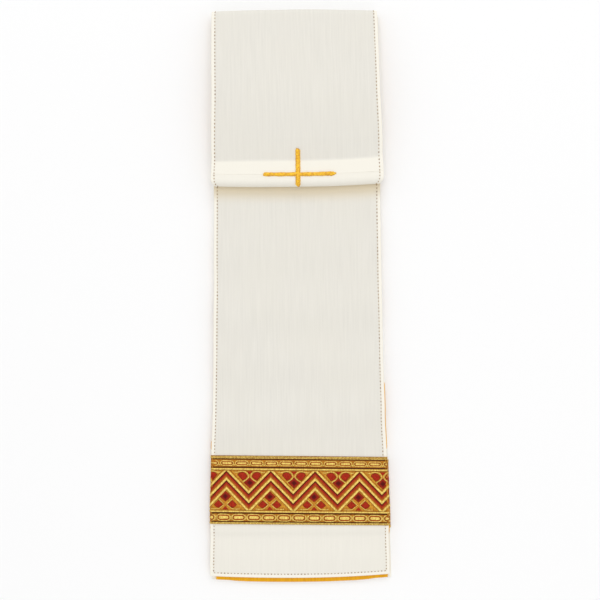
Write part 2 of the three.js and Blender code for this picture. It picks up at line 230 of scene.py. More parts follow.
def front_half_corners():
    """The front half's face: front leaf, inner fold, lower ply, loop edge, front band up to the seam."""
    fold_end = FOLD_MIDDLE + GAP / 2
    bend = along_band(BAND["crease_to_seam"] + BAND["seam_to_bend"])
    edge, edge_round = LOOP_EDGE["y"], LOOP_EDGE["round"]
    return [
        dict(y=FRONT_HEM, z=FRONT_FACE),
        dict(y=fold_end, z=FRONT_FACE, round=GAP / 2, start=EDGE_COLUMNS[1:]),
        dict(y=fold_end, z=FRONT_FACE + GAP, round=GAP / 2, touching=True),
        dict(y=edge, z=FRONT_FACE + GAP, round=edge_round),
        dict(y=edge, z=LOOP_EDGE["top"], round=edge_round),
        dict(**bend, round=BAND["bend_round"]),
        dict(**along_band(BAND["crease_to_seam"] + SEAM_GAP / 2), end=SEAM_STEPS),
    ]


def face_line(corners):
    """Rows of y, z and heading along a line with rounded corners."""
    places = [np.array((c["y"], c["z"]), float) for c in corners]
    runs = [b - a for a, b in zip(places, places[1:])]
    headings = [math.atan2(run[1], run[0]) for run in runs]
    rows = []
    for i, corner in enumerate(corners):
        before, after = headings[max(i - 1, 0)], headings[min(i, len(headings) - 1)]
        turn = math.atan2(math.sin(after - before), math.cos(after - before))
        radius = corner.get("round", 0)
        start = places[i] - radius * math.tan(abs(turn) / 2) * np.array((math.cos(before), math.sin(before)))
        if not rows:
            rows.append((*start, before))
        elif not corner.get("touching"):
            origin = np.array(rows[-1][:2])
            length = float(np.linalg.norm(start - origin))
            opening = list(corner.get("start", ()))
            closing = [length - d for d in reversed(corner.get("end", ()))] + [length]
            first = opening[-1] if opening else 0
            count = max(round((closing[0] - first) / CLOTH_STEP), 1)
            distances = opening + list(np.linspace(first, closing[0], count + 1)[1:]) + closing[1:]
            rows += [(*(origin + (start - origin) * d / length), before) for d in distances]
        if radius:
            arc_steps = max(LEAST_ARC_STEPS, round(abs(turn) * (radius + 1) / (0.5 * CLOTH_STEP)))
            for k in range(1, arc_steps + 1):
                turned = turn * k / arc_steps
                chord = 2 * radius * abs(math.sin(turned / 2))
                heading = before + turned / 2
                ahead = np.array((math.cos(heading), math.sin(heading)))
                rows.append((*(start + chord * ahead), before + turned))
    line = np.array(rows)
    line[:, 2] = np.unwrap(line[:, 2])
    return line


def lift(y):
    """How far the leaves are raised where they step over the back galloon."""
    low = BACK_HEM + GALLOON_ABOVE_HEM - RAMP_CLEAR
    high = low + GALLOON_WIDTH + 2 * RAMP_CLEAR
    outside = np.maximum(np.maximum(low - y, y - high), 0)
    return LIFT * (1 - smooth(outside / RAMP_LENGTH))


def bow(x, y):
    rise = np.where(x < 0, read_table(BOW["y"], BOW["left"], y), read_table(BOW["y"], BOW["right"], y))
    return rise * (x / BOW_HALF_WIDTH) ** 2


def wave(x, y):
    """Height of the soft waves in the front leaf, none where the loop lies on it."""
    free = 1 - smooth((y - WAVES_FADE[0]) / (WAVES_FADE[1] - WAVES_FADE[0]))
    total = 0
    for crest, slant, height, spread in zip(WAVES["crest"], WAVES["slant"], WAVES["height"], WAVES["spread"]):
        total = total + height * np.exp(-(((y - crest - slant * x) / spread) ** 2))
    return free * total


def half_of_band(corners, shift, outward, allowance, fullness, seed):
    """One half: the line of its face from the side, and the side of that line that faces out."""
    line = face_line(corners)
    steps = np.linalg.norm(np.diff(line[:, :2], axis=0), axis=1)
    from_seam = np.concatenate((np.cumsum(steps[::-1])[::-1], (0,)))
    half = dict(line=line, from_seam=from_seam, length=from_seam[0], shift=shift, outward=outward, seed=seed)
    return half | dict(allowance=allowance, fullness=fullness)


# the seam allowances are pressed open inside the loop, so the cloth is double as far as this from the seam
FRONT = half_of_band(front_half_corners(), FRONT_SHIFT, outward=1, allowance=12.5, fullness=0.7, seed=1.0)
BACK = half_of_band(back_half_corners(), BACK_SHIFT, outward=-1, allowance=10.2, fullness=0.85, seed=7.0)


def on_line(half, along):
    """The y, z and heading of the face's line at distances from the seam."""
    return [np.interp(along, half["from_seam"][::-1], half["line"][::-1, i]) for i in range(3)]


def half_width(half, along):
    """Half the width of the cut as it lies. Its sides draw in where the band bends round the loop's edge."""
    y, z, _ = on_line(half, along)
    past = np.clip((LOOP_EDGE["y"] + LOOP_EDGE["pinch_reach"] - y) / LOOP_EDGE["pinch_reach"], 0, 1)
    pinch = np.where(z > FRONT_FACE + GAP / 2, LOOP_EDGE["pinch"] * (1 - np.sqrt(1 - past**2)), 0)
    return read_table(CUT["from_seam"], CUT["width"], along) / 2 - pinch


def lay(half, across, along, out):
    """Where points of the cut lie: across from its middle, along from the seam, out of its face."""
    y, z, heading = on_line(half, along)
    x = across + read_table(half["shift"]["from_seam"], half["shift"]["shift"], along)
    y = y - np.sin(heading) * half["outward"] * out
    z = z + np.cos(heading) * half["outward"] * out + lift(y)
    if half is FRONT:
        z = z + wave(x, y)
    return np.stack((x, y + bow(x, y), z), axis=-1)


def cloth_noise(across, along, size, seed, stretch=1):
    """Smooth unevenness over the cut, about -0.5 to 0.5."""
    flat = np.stack((np.ravel(across) / size, np.ravel(along) / (size * stretch)), axis=1)
    values = [noise.noise(Vector((float(a), float(b), seed))) for a, b in flat]
    return np.array(values).reshape(np.shape(across))


def stitch_inset(across, along):
    """How far in from the edge the topstitching runs, a little different on each side."""
    return STITCH_INSET + STITCH_WANDER * np.sin(along / 31 + np.sign(across) * 1.3) * np.cos(along / 67)


def from_edges(half, across, along):
    return np.minimum(half_width(half, along) - np.abs(across), half["length"] - along)


def unevenness(half, across, along):
    """Broad soft relief of the face, fading out towards the edges."""
    broad = cloth_noise(across, along, UNEVEN["broad"], half["seed"] + 5, stretch=0.8)
    fine = cloth_noise(across, along, UNEVEN["fine"], half["seed"], stretch=1.6)
    inner = smooth(from_edges(half, across, along) / UNEVEN["fades"])
    return UNEVEN["height"] * (broad + UNEVEN["fine_share"] * fine) * inner


def face_relief(half, across, along):
    """Relief of the face: groove of the topstitching, puckers along it and broad unevenness."""
    edge = from_edges(half, across, along)
    groove = GROOVE["depth"] * np.exp(-(((edge - stitch_inset(across, along)) / GROOVE["width"]) ** 2))
    puff = PUFF["height"] * np.exp(-(((edge - PUFF["inset"]) / PUFF["width"]) ** 2))
    puckers = cloth_noise(across * PUCKER["squeeze"], along, PUCKER["size"], half["seed"])
    pucker = PUCKER["height"] * puckers * np.exp(-edge / PUCKER["fades"])
    relief = puff + pucker - groove + unevenness(half, across, along)
    on_table = on_line(half, along)[1] < GAP
    return np.where(on_table, np.minimum(relief, 0), relief)


def columns_across(edge_columns, step):
    """Places across a panel as shares of its half width, close together at the edges."""
    usual = min(CUT["width"]) / 2
    inner = usual - edge_columns[-1]
    left = [d - usual for d in edge_columns[:-1]]
    middle = np.linspace(-inner, inner, round(2 * inner / step) + 1)
    return np.concatenate((left, middle, -np.array(left[::-1]))) / usual


def shell_faces(rows, columns):
    """Faces of a closed shell between two grids of points: the near grid, the far one and the rim."""
    count = rows * columns
    index = np.arange(count).reshape(rows, columns)
    a, b, c, d = index[:-1, :-1], index[:-1, 1:], index[1:, 1:], index[1:, :-1]
    near = np.stack((a, b, c, d), axis=-1).reshape(-1, 4)
    far = np.stack((a, d, c, b), axis=-1).reshape(-1, 4) + count
    rim = np.concatenate((index[0, :-1], index[:-1, -1], index[-1, :0:-1], index[:0:-1, 0]))
    rim_next = np.roll(rim, -1)
    return np.concatenate((near, far, np.stack((rim_next, rim, rim + count, rim_next + count), axis=-1)))


def mesh_points(mesh):
    """The points of a mesh in millimetres."""
    points = np.empty(len(mesh.vertices) * 3)
    mesh.vertices.foreach_get("co", points)
    return points.reshape(-1, 3) / MM


def turn_out(mesh):
    """Turns a closed mesh's faces outwards if its volume comes out negative."""
    mesh.calc_loop_triangles()
    corners = np.empty(len(mesh.loop_triangles) * 3, np.int64)
    mesh.loop_triangles.foreach_get("vertices", corners)
    a, b, c = mesh_points(mesh)[corners.reshape(-1, 3)].transpose(1, 0, 2)
    if np.einsum("ij,ij->i", a, np.cross(b, c)).sum() < 0:
        mesh.flip_normals()


def shell_mesh(name, near, far, across, along, **masks):
    """A thin closed shell between two grids of points, with a map of its cut and a value for each mask."""
    faces = shell_faces(*near.shape[:2])
    mesh = new_mesh(name, np.concatenate((near.reshape(-1, 3), far.reshape(-1, 3))), faces.tolist())
    cut = np.stack((across, along), axis=-1).reshape(-1, 2) / MAP_UNIT
    flat = np.concatenate((cut, cut))
    mesh.uv_layers.new(name="cut").data.foreach_set("uv", flat[faces.ravel()].astype(np.float32).ravel())
    for mask, values in masks.items():
        both = np.concatenate((values.ravel(), values.ravel())).astype(np.float32)
        mesh.attributes.new(mask, "FLOAT", "POINT").data.foreach_set("value", both)
    mesh.shade_smooth()
    turn_out(mesh)
    return new_object(name, mesh)


def rounded_edge(inside, least):
    """Thickness near an edge as a share of the full one, where inside goes from 0 at the edge to 1."""
    return least + (1 - least) * np.sqrt(1 - (1 - np.clip(inside, 0, 1)) ** 2)


def face_panel(name, half):
    """One half of the band, thin where its edges are turned over."""
    columns = columns_across(EDGE_COLUMNS, COLUMN_STEP)
    across = half_width(half, half["from_seam"])[:, None] * columns[None, :]
    along = np.repeat(half["from_seam"][:, None], across.shape[1], axis=1)
    edge = from_edges(half, across, along)
    inside = np.clip(np.minimum(edge, along * SEAM_GROWTH + SEAM_FULLNESS) / TURNED_EDGE, 0, 1)
    thin = rounded_edge(inside, EDGE_LEFT) * CLOTH
    relief = face_relief(half, across, along) * inside
    near = lay(half, across, along, (thin - CLOTH) / 2 + relief)
    far = lay(half, across, along, (-thin - CLOTH) / 2)
    turned_in = smooth((STITCH_INSET + 0.1 - edge) / TURNED_EDGE_FADE)
    in_hem = along - half["length"] + HEM_TURNED_UP["height"]
    turned_up = HEM_TURNED_UP["share"] * smooth(in_hem / HEM_TURNED_UP["fade"])
    at_seam = half["fullness"] * smooth((half["allowance"] - along) / SEAM_FADE)
    doubled = np.maximum(np.maximum(turned_in, turned_up), at_seam)
    y, z, _ = on_line(half, along)
    # painted shade: a warm darkening of the front leaf within reach of the loop's edge and under the loop
    into_loop_shade = np.where(z < FRONT_FACE + 0.1, y, 0) - LOOP_EDGE["y"] + LOOP_SHADE_SPREAD["reach"]
    under_loop = smooth(into_loop_shade / LOOP_SHADE_SPREAD["fade"]) ** LOOP_SHADE_SPREAD["power"] * (half is FRONT)
    return shell_mesh(name, near, far, across, along, doubled=doubled, under_loop=under_loop)


front_panel = face_panel("front_panel_cloth", FRONT)
back_panel = face_panel("back_panel_cloth", BACK)

for piece, node in ((front_panel, "front_panel"), (back_panel, "back_panel")):
    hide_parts(node)
    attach(piece, "root")

IVORY = dict(
    light=(0.79, 0.765, 0.70),
    shade=(0.735, 0.712, 0.65),
    warm=(0.78, 0.75, 0.67),
    doubled=(0.9, 0.865, 0.77),
    # warm painted shade by the loop
    under_loop=(0.8, 0.7, 0.52),
)


def linked(tree, kind, values=None, **links):
    """A new node with its input values set and its inputs linked from other nodes' outputs."""
    node = tree.nodes.new(kind)
    for name, value in (values or {}).items():
        node.inputs[name].default_value = value
    for name, source in links.items():
        tree.links.new(source, node.inputs[name.replace("_", " ")])
    return node


def maths(tree, operation, first, second=None):
    node = tree.nodes.new("ShaderNodeMath")
    node.operation = operation
    for socket, value in zip(node.inputs, (first, second)):
        if isinstance(value, (int, float)):
            socket.default_value = value
        elif value is not None:
            tree.links.new(value, socket)
    return node.outputs[0]


def blend(tree, factor, first, second):
    """Mixes two colours. Each is a colour of its own or the output of a node."""
    node = tree.nodes.new("ShaderNodeMix")
    node.data_type = "RGBA"
    tree.links.new(factor, node.inputs["Factor"])
    for name, value in (("A", first), ("B", second)):
        socket = next(i for i in node.inputs if i.name == name and i.type == "RGBA")
        if isinstance(value, tuple):
            socket.default_value = (*value, 1)
        else:
            tree.links.new(value, socket)
    return next(o for o in node.outputs if o.type == "RGBA")


def ranged(tree, value, low, high, finish=1):
    """A value stretched so that low and high become 0 and finish."""
    values = {"From Min": low, "From Max": high, "To Min": 0, "To Max": finish}
    return linked(tree, "ShaderNodeMapRange", values, Value=value).outputs[0]


def cloudy(tree, place, scale, detail, roughness=0.5):
    """Smooth random values over a place."""
    values = {"Scale": scale, "Detail": detail, "Roughness": roughness}
    return linked(tree, "ShaderNodeTexNoise", values, Vector=place).outputs["Fac"]


def held_by_mesh(tree, name):
    """A value or colour that a mesh holds at each of its points."""
    node = tree.nodes.new("ShaderNodeAttribute")
    node.attribute_name = name
    return node.outputs


def group_inputs(tree, sockets):
    """Declares a node group's inputs by name, kind and usual value, and gives them inside it."""
    for name, kind, value in sockets:
        socket = tree.interface.new_socket(name, in_out="INPUT", socket_type="NodeSocket" + kind)
        if value is not None:
            socket.default_value = value
    return tree.nodes.new("NodeGroupInput").outputs


def woven_threads():
    """Node group: height of a weave and the streaks of its uneven threads. The place is in units of the map."""
    group = bpy.data.node_groups.new("woven_threads", "ShaderNodeTree")
    inside = group_inputs(group, (
        ("Place", "Vector", None),
        ("Warp Count", "Float", 220),
        ("Weft Count", "Float", 220),
        ("Streak Width", "Float", 90),
        ("Streak Length", "Float", 4),
    ))
    for name in ("Height", "Streaks"):
        group.interface.new_socket(name, in_out="OUTPUT", socket_type="NodeSocketFloat")
    apart = linked(group, "ShaderNodeSeparateXYZ", Vector=inside["Place"]).outputs
    waves = []
    for axis, name in (("X", "Warp Count"), ("Y", "Weft Count")):
        threads = maths(group, "MULTIPLY", apart[axis], inside[name])
        waves.append(maths(group, "SINE", maths(group, "MULTIPLY", threads, 2 * math.pi)))
    weave = maths(group, "MULTIPLY", maths(group, "MULTIPLY", *waves), 0.25)
    stretched = linked(
        group,
        "ShaderNodeCombineXYZ",
        X=maths(group, "MULTIPLY", apart["X"], inside["Streak Width"]),
        Y=maths(group, "MULTIPLY", apart["Y"], inside["Streak Length"]),
    ).outputs[0]
    slub = cloudy(group, stretched, 1, 3, 0.6)
    result = group.nodes.new("NodeGroupOutput")
    group.links.new(maths(group, "ADD", weave, slub), result.inputs["Height"])
    group.links.new(slub, result.inputs["Streaks"])
    return group


WOVEN_THREADS = woven_threads()


def woven(tree, uv_map, **settings):
    """Places the weave group in a material, reading a piece's own map."""
    place = tree.nodes.new("ShaderNodeUVMap")
    place.uv_map = uv_map
    node = tree.nodes.new("ShaderNodeGroup")
    node.node_tree = WOVEN_THREADS
    tree.links.new(place.outputs[0], node.inputs["Place"])
    for name, value in settings.items():
        node.inputs[name.replace("_", " ")].default_value = value
    return node.outputs, place.outputs[0]


def bumped(tree, shader, height, strength, distance):
    bump = linked(tree, "ShaderNodeBump", {"Strength": strength, "Distance": distance * MM}, Height=height)
    tree.links.new(bump.outputs[0], shader.inputs["Normal"])


def ivory_cloth():
    """Ivory cloth: faint lengthwise streaks, slightly mottled, paler where double, and with a warm painted shade
    by the loop.
    """
    material, tree, shader = new_material("ivory_cloth", 0.82, Sheen_Weight=0.12, Sheen_Roughness=0.5)
    weave, place = woven(tree, "cut", Warp_Count=210, Weft_Count=190, Streak_Width=75, Streak_Length=3)
    streaked = blend(tree, ranged(tree, weave["Streaks"], 0.3, 0.7), IVORY["shade"], IVORY["light"])
    colour = blend(tree, ranged(tree, cloudy(tree, place, 2.3, 3), 0.3, 0.75, 0.5), streaked, IVORY["warm"])
    # doubled cloth is paler; the loop mask paints a warm shade
    for mask in ("doubled", "under_loop"):
        colour = blend(tree, held_by_mesh(tree, mask)["Fac"], colour, IVORY[mask])
    tree.links.new(colour, shader.inputs["Base Color"])
    bumped(tree, shader, weave["Height"], 0.35, 0.12)
    return material


ivory = ivory_cloth()
for piece in (front_panel, back_panel):
    piece.data.materials.append(ivory)

# ---------------------------------------------------------------- topstitching
# One row of machine stitches in tan thread, a little over two millimetres in from every edge. It holds the
# turned edges of the face cloth down and sinks into them.

TOPSTITCH = dict(pitch_on_leaf=2.2, pitch_on_flap=2.35, length=1.0, width=0.6, proud=0.12, sink=0.34)
TOPSTITCH_SPREAD = {"Stray": 0.07, "Size Spread": 0.12}
THREAD_SIDES = 6


def random_between(tree, low, high, seed):
    """A random number for each copy."""
    node = tree.nodes.new("FunctionNodeRandomValue")
    node.data_type = "FLOAT"
    floats = [i for i in node.inputs if i.type == "VALUE"]
    for value, socket in ((low, floats[0]), (high, floats[1]), (seed, node.inputs["Seed"])):
        tree.links.new(value, socket)
    return next(o for o in node.outputs if o.type == "VALUE")


def copies_laid(tree, points, copy, thread, **placing):
    """Ends a tree: copies on points, made real and given their thread."""
    placed = linked(tree, "GeometryNodeInstanceOnPoints", Points=points, Instance=copy, **placing)
    whole = linked(tree, "GeometryNodeRealizeInstances", Geometry=placed.outputs[0])
    finished = linked(tree, "GeometryNodeSetMaterial", Geometry=whole.outputs[0], Material=thread)
    tree.interface.new_socket("Geometry", in_out="OUTPUT", socket_type="NodeSocketGeometry")
    tree.links.new(finished.outputs[0], tree.nodes.new("NodeGroupOutput").inputs[0])
    return tree


def stitching_tree():
    """Geometry Nodes: stitches laid one after another along a path, each a little different."""
    tree = bpy.data.node_groups.new("stitches_along_path", "GeometryNodeTree")
    inside = group_inputs(tree, (
        ("Geometry", "Geometry", None),
        ("Stitch", "Object", None),
        ("Pitch", "Float", 0.002),
        ("Slant", "Float", 0.0),
        ("Stray", "Float", 0.05),
        ("Size Spread", "Float", 0.1),
        ("Seed", "Int", 1),
        ("Thread", "Material", None),
    ))
    path = linked(tree, "GeometryNodeMeshToCurve", Mesh=inside["Geometry"]).outputs[0]
    spaced = tree.nodes.new("GeometryNodeResampleCurve")
    spaced.mode = "LENGTH"
    tree.links.new(path, spaced.inputs["Curve"])
    tree.links.new(inside["Pitch"], spaced.inputs["Length"])
    tangent = tree.nodes.new("GeometryNodeInputTangent").outputs[0]
    aligned = linked(tree, "FunctionNodeAlignRotationToVector", Vector=tangent)
    aligned.axis = "X"
    least_stray = maths(tree, "MULTIPLY", inside["Stray"], -1)
    stray = random_between(tree, least_stray, inside["Stray"], inside["Seed"])
    turn = linked(tree, "ShaderNodeCombineXYZ", Z=maths(tree, "ADD", inside["Slant"], stray)).outputs[0]
    turn = linked(tree, "FunctionNodeEulerToRotation", Euler=turn).outputs[0]
    turned = linked(tree, "FunctionNodeRotateRotation", Rotation=aligned.outputs[0], Rotate_By=turn)
    turned.rotation_space = "LOCAL"
    smallest = maths(tree, "SUBTRACT", 1, inside["Size Spread"])
    largest = maths(tree, "ADD", 1, inside["Size Spread"])
    size = random_between(tree, smallest, largest, maths(tree, "ADD", inside["Seed"], 11))
    stitch = linked(tree, "GeometryNodeObjectInfo", Object=inside["Stitch"]).outputs["Geometry"]
    return copies_laid(
        tree, spaced.outputs[0], stitch, inside["Thread"], Rotation=turned.outputs[0], Scale=size
    )


STITCHING = stitching_tree()


def realised(source, tree, values):
    """The plain mesh that a Geometry Nodes tree makes of a source object, which is then removed."""
    modifier = source.modifiers.new("growth", "NODES")
    modifier.node_group = tree
    for item in tree.interface.items_tree:
        if item.item_type == "SOCKET" and item.in_out == "INPUT" and item.name in values:
            modifier[item.identifier] = values[item.name]
    mesh = bpy.data.meshes.new_from_object(source.evaluated_get(bpy.context.evaluated_depsgraph_get()))
    bpy.data.objects.remove(source)
    return mesh


def stitched(name, path, stitch, values):
    """A mesh of stitches along a path through points. The stitch that it copies is removed."""
    edges = [(i, i + 1) for i in range(len(path) - 1)]
    source = new_object(name, new_mesh(name, path, [], edges))
    mesh = realised(source, STITCHING, values | {"Stitch": stitch})
    bpy.data.objects.remove(stitch)
    return mesh


def move_points(mesh, points):
    mesh.vertices.foreach_set("co", (points * MM).ravel())
    mesh.update()


def tube_faces(rings, sides):
    """Faces of a closed tube through rings of points, capped at both ends."""
    faces = [
        (i * sides + k, i * sides + (k + 1) % sides, (i + 1) * sides + (k + 1) % sides, (i + 1) * sides + k)
        for i in range(rings - 1)
        for k in range(sides)
    ]
    return faces + [tuple(range(sides))[::-1], tuple((rings - 1) * sides + k for k in range(sides))]


def thread_tube(name, centre_line, radius, flatten):
    """A short closed length of thread along a line in the x-z plane."""
    line = np.array(centre_line, float)
    tangent = np.gradient(line, axis=0)
    tangent /= np.linalg.norm(tangent, axis=1, keepdims=True)
    points = []
    for place, t, r in zip(line, tangent, radius):
        for k in range(THREAD_SIDES):
            angle = 2 * math.pi * k / THREAD_SIDES
            side, rise = r * math.cos(angle), flatten * r * math.sin(angle)
            points.append((place[0] - t[1] * rise, side, place[1] + t[0] * rise))
    mesh = new_mesh(name, points, tube_faces(len(line), THREAD_SIDES))
    mesh.shade_smooth()
    turn_out(mesh)
    return new_object(name, mesh)


def short_stitch():
    """One machine stitch, dipping into the cloth at both ends."""
    shares = np.linspace(-1, 1, 6)
    reach = TOPSTITCH["length"] / 2
    line = [(reach * t, TOPSTITCH["proud"] - TOPSTITCH["sink"] * t**4) for t in shares]
    radius = [TOPSTITCH["width"] / 2 * (1 - 0.45 * t**4) for t in shares]
    return thread_tube("short_stitch", line, radius, flatten=0.7)


def stitch_path(half):
    """Round the cut on its face: down one side, along the hem and up the other side."""
    end = half["length"] - STITCH_INSET - 0.2
    along = np.arange(0.8, end, 1.0)
    side = half_width(half, along) - stitch_inset(np.ones_like(along), along)
    other = half_width(half, along) - stitch_inset(-np.ones_like(along), along)
    left = [(-a, b, 0) for a, b in zip(other, along)]
    right = [(a, b, 0) for a, b in zip(side, along)]
    corner = half_width(half, end) - STITCH_INSET
    hem = [(x, end, 0) for x in np.linspace(-corner, corner, 80)]
    return left + hem + right[::-1]


def topstitching(name, half, pitch, seed):
    values = TOPSTITCH_SPREAD | {"Pitch": pitch * MM, "Seed": seed, "Thread": tan_thread}
    mesh = stitched(name, stitch_path(half), short_stitch(), values)
    flat = mesh_points(mesh)
    across, along = flat[:, 0], np.clip(flat[:, 1], 0, half["length"])
    move_points(mesh, lay(half, across, along, face_relief(half, across, along) + flat[:, 2]))
    piece = new_object(name, mesh)
    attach(piece, "root")


def thread_material(name, light, shade, roughness, sheen, twist):
    """Twisted thread, its colour varying a little from stitch to stitch."""
    material, tree, shader = new_material(name, roughness, Sheen_Weight=sheen)
    place = tree.nodes.new("ShaderNodeTexCoord").outputs["Object"]
    patches = ranged(tree, cloudy(tree, place, 900, 1), 0.35, 0.65)
    tree.links.new(blend(tree, patches, shade, light), shader.inputs["Base Color"])
    bumped(tree, shader, cloudy(tree, place, twist, 2), 0.4, 0.06)
    return material


tan_thread = thread_material(
    "tan_thread", (0.5, 0.37, 0.2), (0.27, 0.15, 0.07), roughness=0.6, sheen=0.1, twist=4000
)
topstitching("front_topstitching", FRONT, TOPSTITCH["pitch_on_leaf"], seed=3)
topstitching("back_topstitching", BACK, TOPSTITCH["pitch_on_flap"], seed=5)

# ---------------------------------------------------------------- linings
# Gold satin, cut a little narrower than the face cloth and felled to its turned edges on the inside. It peeps
# out in a strip below the front hem and in a fine line along the lower side edges.

LINING_INSET = 2.4
LINING_HEM_INSET = 0.4
LINING_EDGE = dict(round=0.4, left=0.3)
LINING_COLUMNS = (0, 0.1, 0.3, 0.6, 1, 2, 4)
LINING_STEP = 4
HEM_SAG = dict(depth=1.3, half_width=48, reach=12)        # the back lining hangs a little below its hem
LEAF_FROM = 300               # all that lies farther than this from the seam is leaf
# where the front lining shows past the leaf: side, y from and to, and how far it has crept out
PEEPING = ((1, -106, -52, 3.0), (1, -162, -146, 3.0), (-1, -106, -90, 2.9), (-1, -158, -146, 2.8))
PEEP_FADE = 6


def peep(half, along, side):
    """How far a lining has crept out past its usual inset at one side, on the front leaf alone."""
    y = on_line(half, along)[0]
    crept = np.zeros_like(along)
    for row_side, low, high, reach in PEEPING:
        if row_side == side and half is FRONT:
            crept = np.maximum(crept, reach * smooth((y - low) / PEEP_FADE) * smooth((high - y) / PEEP_FADE))
    return np.where(along > LEAF_FROM, crept, 0)


def lining(name, half):
    from_seam = half["from_seam"][half["from_seam"] <= half["length"] - LINING_HEM_INSET]
    width = half_width(half, from_seam) - LINING_INSET
    left, right = [(width + peep(half, from_seam, side))[:, None] for side in (-1, 1)]
    shares = columns_across(LINING_COLUMNS, LINING_STEP)[None, :]
    reach = np.where(shares < 0, left, right)
    across = reach * shares
    along = np.repeat(from_seam[:, None], across.shape[1], axis=1)
    from_hem = along[0, 0] - along
    edge = np.minimum(reach - np.abs(across), from_hem)
    sag = HEM_SAG["depth"] * np.clip(1 - (across / HEM_SAG["half_width"]) ** 4, 0, 1)
    along = along + sag * smooth(1 - from_hem / HEM_SAG["reach"]) * (half is BACK)
    thin = rounded_edge(edge / LINING_EDGE["round"], LINING_EDGE["left"]) * LINING
    middle = -CLOTH - GAP - LINING / 2
    near, far = [lay(half, across, along, middle + side * thin / 2) for side in (1, -1)]
    return shell_mesh(name, near, far, across, along)


front_lining = lining("front_lining_satin", FRONT)
back_lining = lining("back_lining_satin", BACK)

for piece, node in ((front_lining, "front_lining"), (back_lining, "back_lining")):
    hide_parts(node)
    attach(piece, "root")

SATIN = dict(light=(0.88, 0.45, 0.006), shade=(0.74, 0.33, 0.003))


def gold_satin():
    """Satin: long floats along the band, so it gleams and its fine streaks run lengthwise."""
    material, tree, shader = new_material("gold_satin", 0.36, Specular_IOR_Level=0.2)
    weave, _ = woven(tree, "cut", Warp_Count=260, Weft_Count=120, Streak_Width=110, Streak_Length=5)
    streaked = blend(tree, ranged(tree, weave["Streaks"], 0.3, 0.7), SATIN["shade"], SATIN["light"])
    tree.links.new(streaked, shader.inputs["Base Color"])
    bumped(tree, shader, weave["Height"], 0.3, 0.08)
    return material


satin = gold_satin()
for piece in (front_lining, back_lining):
    piece.data.materials.append(satin)

# ---------------------------------------------------------------- galloons
# A 45 mm woven tape of gilt thread and red silk near each hem, wrapped round the side edges and sewn down.
# Its ground is a thin cloth. On it stand zigzags, petals and diamonds between gilt cords, with chains outside.
# Places on it: u across the band from its middle, v up from the lower selvedge, h out of its back.

TAPE_END = 62.5
GROUND_TOP = 0.45             # thickness of the ground cloth
PATTERN_TOP = 0.98            # height of the tallest cords
SUNK = 0.2                    # raised parts reach down into the ground cloth
TUCK = 1.9                    # how far the ends are tucked under the leaf
TAPE_ASKEW = 0.015            # the front tape is sewn on a little lower at its right end
OFF_LEAF = 0.1
WRAP_ROUND = OFF_LEAF + TURNED_EDGE
FIELD = (9.3, 35.3)           # the zigzag lies between these
ZIGZAG = dict(pitch=29.2, swing=7.55, first_peak=-47.9, repeat=6.25, top=27.3)

# Thread colours, partly the threads' own gold and red and partly painted light: bright is painted highlight on
# crests, dark and deep_red at the feet of raised parts are painted shade
GILT = dict(
    bright=(1.0, 0.8, 0.2),
    gold=(0.72, 0.34, 0.03),
    ochre=(0.42, 0.15, 0.01),
    brown=(0.16, 0.04, 0.003),
    dark=(0.05, 0.008, 0.001),
    rust=(0.5, 0.085, 0.005),
    red=(0.46, 0.025, 0.003),
    deep_red=(0.12, 0.002, 0.0005),
)


def zigzag(u):
    pitches = np.abs(u - ZIGZAG["first_peak"]) / ZIGZAG["pitch"]
    return ZIGZAG["swing"] * (1 - 4 * np.abs(pitches - np.round(pitches)))


def closed_part(points, faces, threads):
    """One raised part of the pattern: its points (u, v, h), faces and the colour of the thread at each point."""
    return dict(points=np.array(points, float), faces=faces, threads=np.array(threads, float))


def section_sweep(rows, threads):
    """A closed part swept through rows of points, each a loop of the same number of points."""
    points = [p for row in rows for p in row]
    return closed_part(points, tube_faces(len(rows), len(rows[0])), [t for row in threads for t in row])


def strip(low, high, profile):
    """A straight raised strip along the tape. profile: share across, height, thread."""
    us = np.linspace(-TAPE_END, TAPE_END, round(2 * TAPE_END / STRIP_STEP) + 1)
    base = [(profile[-1][0], SUNK, profile[-1][2]), (profile[0][0], SUNK, profile[0][2])]
    loop = list(profile) + base
    rows = [[(u, low + (high - low) * share, h) for share, h, _ in loop] for u in us]
    return section_sweep(rows, [[GILT[t] for _, _, t in loop]] * len(us))


def zigzag_band(top, profile):
    """A mitred zigzag band, cut off at the cords beside the field. profile: share down it, height, thread."""
    turns = np.arange(-1, 9) * ZIGZAG["pitch"] / 2 + ZIGZAG["first_peak"]
    us = sorted({round(float(u), 4) for a, b in zip(turns, turns[1:]) for u in np.linspace(a, b, 11)})
    us = [-TAPE_END] + [u for u in us if abs(u) < TAPE_END] + [TAPE_END]
    drop = ZIGZAG["repeat"]
    loop = [(share, h) for share, h, _ in profile] + [(profile[-1][0], SUNK), (profile[0][0], SUNK)]
    rows = [[(u, top + float(zigzag(u)) - drop * share, h) for share, h in loop] for u in us]
    swept = section_sweep(rows, [[(0, 0, 0)] * len(loop)] * len(us))
    form = bmesh.new()
    points = [form.verts.new(p) for p in swept["points"]]
    for face in swept["faces"]:
        form.faces.new([points[i] for i in face])
    for limit, direction in zip(FIELD, (-1, 1)):
        cut = bmesh.ops.bisect_plane(
            form,
            geom=form.verts[:] + form.edges[:] + form.faces[:],
            dist=1e-5,
            plane_co=(0, limit, 0),
            plane_no=(0, direction, 0),
            clear_outer=True,
        )
        rim = [e for e in cut["geom_cut"] if isinstance(e, bmesh.types.BMEdge) and e.is_boundary]
        if rim:
            bmesh.ops.holes_fill(form, edges=rim)
    form.verts.index_update()
    place = np.array([v.co[:] for v in form.verts])
    faces = [tuple(v.index for v in f.verts) for f in form.faces]
    form.free()
    shares = (top + zigzag(place[:, 0]) - place[:, 1]) / drop
    known = [share for share, _, _ in profile]
    colours = np.array([GILT[t] for _, _, t in profile])
    threads = np.stack([np.interp(shares, known, colours[:, i]) for i in range(3)], axis=1)
    return closed_part(place, faces, threads)


